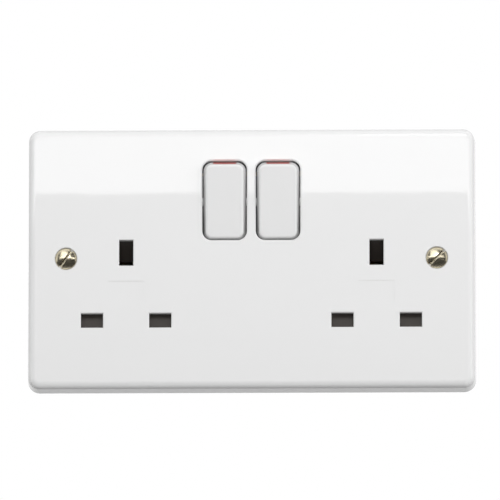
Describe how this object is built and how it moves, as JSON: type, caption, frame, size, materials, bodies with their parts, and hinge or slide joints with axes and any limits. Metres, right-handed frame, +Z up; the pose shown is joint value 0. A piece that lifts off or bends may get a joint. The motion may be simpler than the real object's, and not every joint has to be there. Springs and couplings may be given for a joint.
{
  "type": "twin switched wall socket",
  "caption": "white twin wall socket plate with three-pin openings behind sliding shutters, a rocker switch for each outlet, two face fixing screws and rear screw terminals",
  "frame": {"origin": "the middle of the plate's back rim plane, midway between the fixing screws, where the wall's face is", "axes": "+X to the right as seen from the front, +Y into the wall, +Z up"},
  "size_m": [0.146, 0.0301, 0.086],
  "materials": {
    "plate_white": "smooth glossy moulded white",
    "rocker_white": "smooth glossy moulded white with a red line on the top end",
    "back_grey": "fine matt moulded dark grey",
    "shutter_grey": "fine matt moulded charcoal",
    "plunger_nylon": "natural nylon",
    "brass_strip": "rolled and pressed brass",
    "brass_block": "drawn and drilled brass",
    "contact_silver": "silver alloy rivets",
    "spring_steel": "drawn spring wire",
    "zinc_screw": "zinc plated steel",
    "nickel_screw": "nickel plated, slightly warm"
  },
  "bodies": {
    "housing": {"front_plate": "plate_white", "back_moulding": "back_grey", "fixed_tips": "contact_silver", "live_bar": "brass_strip", "neutral_bar": "brass_strip", "earth_bar": "brass_strip", "terminal_screws": "brass_block", "assembly_screws": "zinc_screw", "fixing_screws": "nickel_screw", "earth_terminal_left": "brass_block", "neutral_terminal": "brass_block", "live_terminal": "brass_block", "earth_terminal_right": "brass_block", "contact_neutral_left": "brass_strip", "contact_live_left": "brass_strip", "contact_neutral_right": "brass_strip", "contact_live_right": "brass_strip", "shutter_spring_left": "spring_steel", "shutter_spring_right": "spring_steel"},
    "seesaw_neutral_left": {"seesaw_neutral_left": "brass_strip", "tip_neutral_left": "contact_silver"},
    "seesaw_live_left": {"seesaw_live_left": "brass_strip", "tip_live_left": "contact_silver"},
    "seesaw_neutral_right": {"seesaw_neutral_right": "brass_strip", "tip_neutral_right": "contact_silver"},
    "seesaw_live_right": {"seesaw_live_right": "brass_strip", "tip_live_right": "contact_silver"},
    "rocker_left": {"rocker_left": "rocker_white", "plunger_spring_left": "spring_steel"},
    "plunger_left": {"plunger_left": "plunger_nylon"},
    "shutter_left": {"shutter_left": "shutter_grey"},
    "rocker_right": {"rocker_right": "rocker_white", "plunger_spring_right": "spring_steel"},
    "plunger_right": {"plunger_right": "plunger_nylon"},
    "shutter_right": {"shutter_right": "shutter_grey"}
  },
  "joints": [
    {"name": "rocker_left_turn", "type": "hinge", "parent": "housing", "child": "rocker_left", "pos_m": [-0.0087, -0.00505, 0.0191], "axis": [1, 0, 0], "range_deg": [-12, 0]},
    {"name": "plunger_left_slide", "type": "slide", "parent": "rocker_left", "child": "plunger_left", "axis": [0, 0.9945, 0.1045], "range_m": [-0.0006, 0], "stiffness_N_per_m": 300, "springref_m": 0.002, "deforming": ["plunger_spring_left"]},
    {"name": "shutter_left_slide", "type": "slide", "parent": "housing", "child": "shutter_left", "axis": [0, 0, 1], "range_m": [0, 0.006], "stiffness_N_per_m": 120, "springref_m": -0.004, "deforming": ["shutter_spring_left"]},
    {"name": "rocker_right_turn", "type": "hinge", "parent": "housing", "child": "rocker_right", "pos_m": [0.0087, -0.00505, 0.0191], "axis": [1, 0, 0], "range_deg": [-12, 0]},
    {"name": "plunger_right_slide", "type": "slide", "parent": "rocker_right", "child": "plunger_right", "axis": [0, 0.9945, 0.1045], "range_m": [-0.0006, 0], "stiffness_N_per_m": 300, "springref_m": 0.002, "deforming": ["plunger_spring_right"]},
    {"name": "shutter_right_slide", "type": "slide", "parent": "housing", "child": "shutter_right", "axis": [0, 0, 1], "range_m": [0, 0.006], "stiffness_N_per_m": 120, "springref_m": -0.004, "deforming": ["shutter_spring_right"]},
    {"name": "seesaw_neutral_left_rock", "type": "hinge", "parent": "housing", "child": "seesaw_neutral_left", "pos_m": [-0.0121, 0.00685, 0.0191], "axis": [1, 0, 0], "range_deg": [-1, 19]},
    {"name": "seesaw_live_left_rock", "type": "hinge", "parent": "housing", "child": "seesaw_live_left", "pos_m": [-0.0053, 0.00685, 0.0191], "axis": [1, 0, 0], "range_deg": [-1, 19]},
    {"name": "seesaw_neutral_right_rock", "type": "hinge", "parent": "housing", "child": "seesaw_neutral_right", "pos_m": [0.0053, 0.00685, 0.0191], "axis": [1, 0, 0], "range_deg": [-1, 19]},
    {"name": "seesaw_live_right_rock", "type": "hinge", "parent": "housing", "child": "seesaw_live_right", "pos_m": [0.0121, 0.00685, 0.0191], "axis": [1, 0, 0], "range_deg": [-1, 19]}
  ],
  "couplings": [
    {"joint": "seesaw_neutral_left_rock", "follows": "rocker_left_turn", "ratio": -1.5},
    {"joint": "seesaw_live_left_rock", "follows": "rocker_left_turn", "ratio": -1.5},
    {"joint": "seesaw_neutral_right_rock", "follows": "rocker_right_turn", "ratio": -1.5},
    {"joint": "seesaw_live_right_rock", "follows": "rocker_right_turn", "ratio": -1.5}
  ]
}
